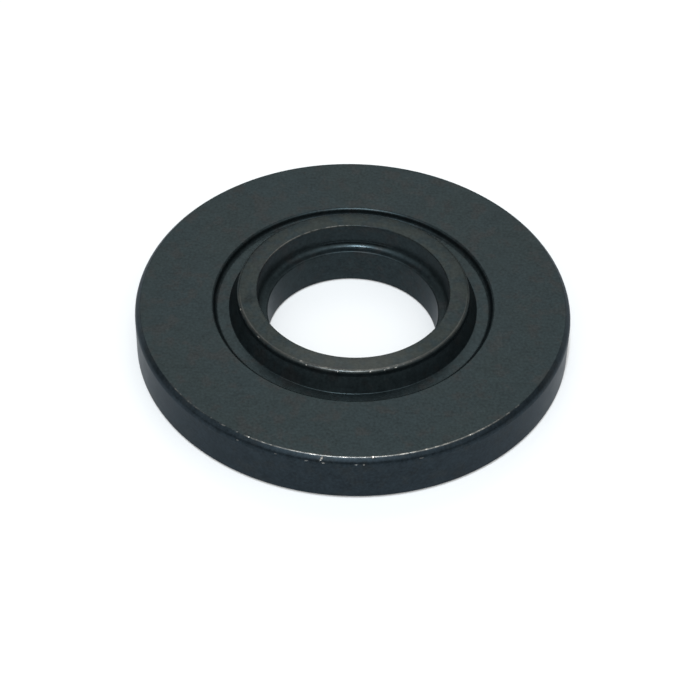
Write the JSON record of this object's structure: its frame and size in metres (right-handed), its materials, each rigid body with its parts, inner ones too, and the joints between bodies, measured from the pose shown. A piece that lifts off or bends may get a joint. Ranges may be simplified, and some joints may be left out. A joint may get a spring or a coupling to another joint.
{
  "type": "clamp washer",
  "caption": "Turned steel clamp washer: a flat round flange with a raised pilot inside a relief groove and a stepped bore, for clamping a wheel or disc on a spindle.",
  "frame": {"origin": "centre of the spindle bore in the plane of the back face", "axes": "+Z along the bore axis, from the back face towards the pilot; the part is round, so +X and +Y are any two directions square to it"},
  "size_m": [0.042, 0.042, 0.0064],
  "materials": {
    "blackened_steel": "black oxide on fine-turned steel, satin, bare metal along the worn edges"
  },
  "bodies": {
    "root": {"clamp_washer": "blackened_steel"}
  },
  "joints": []
}
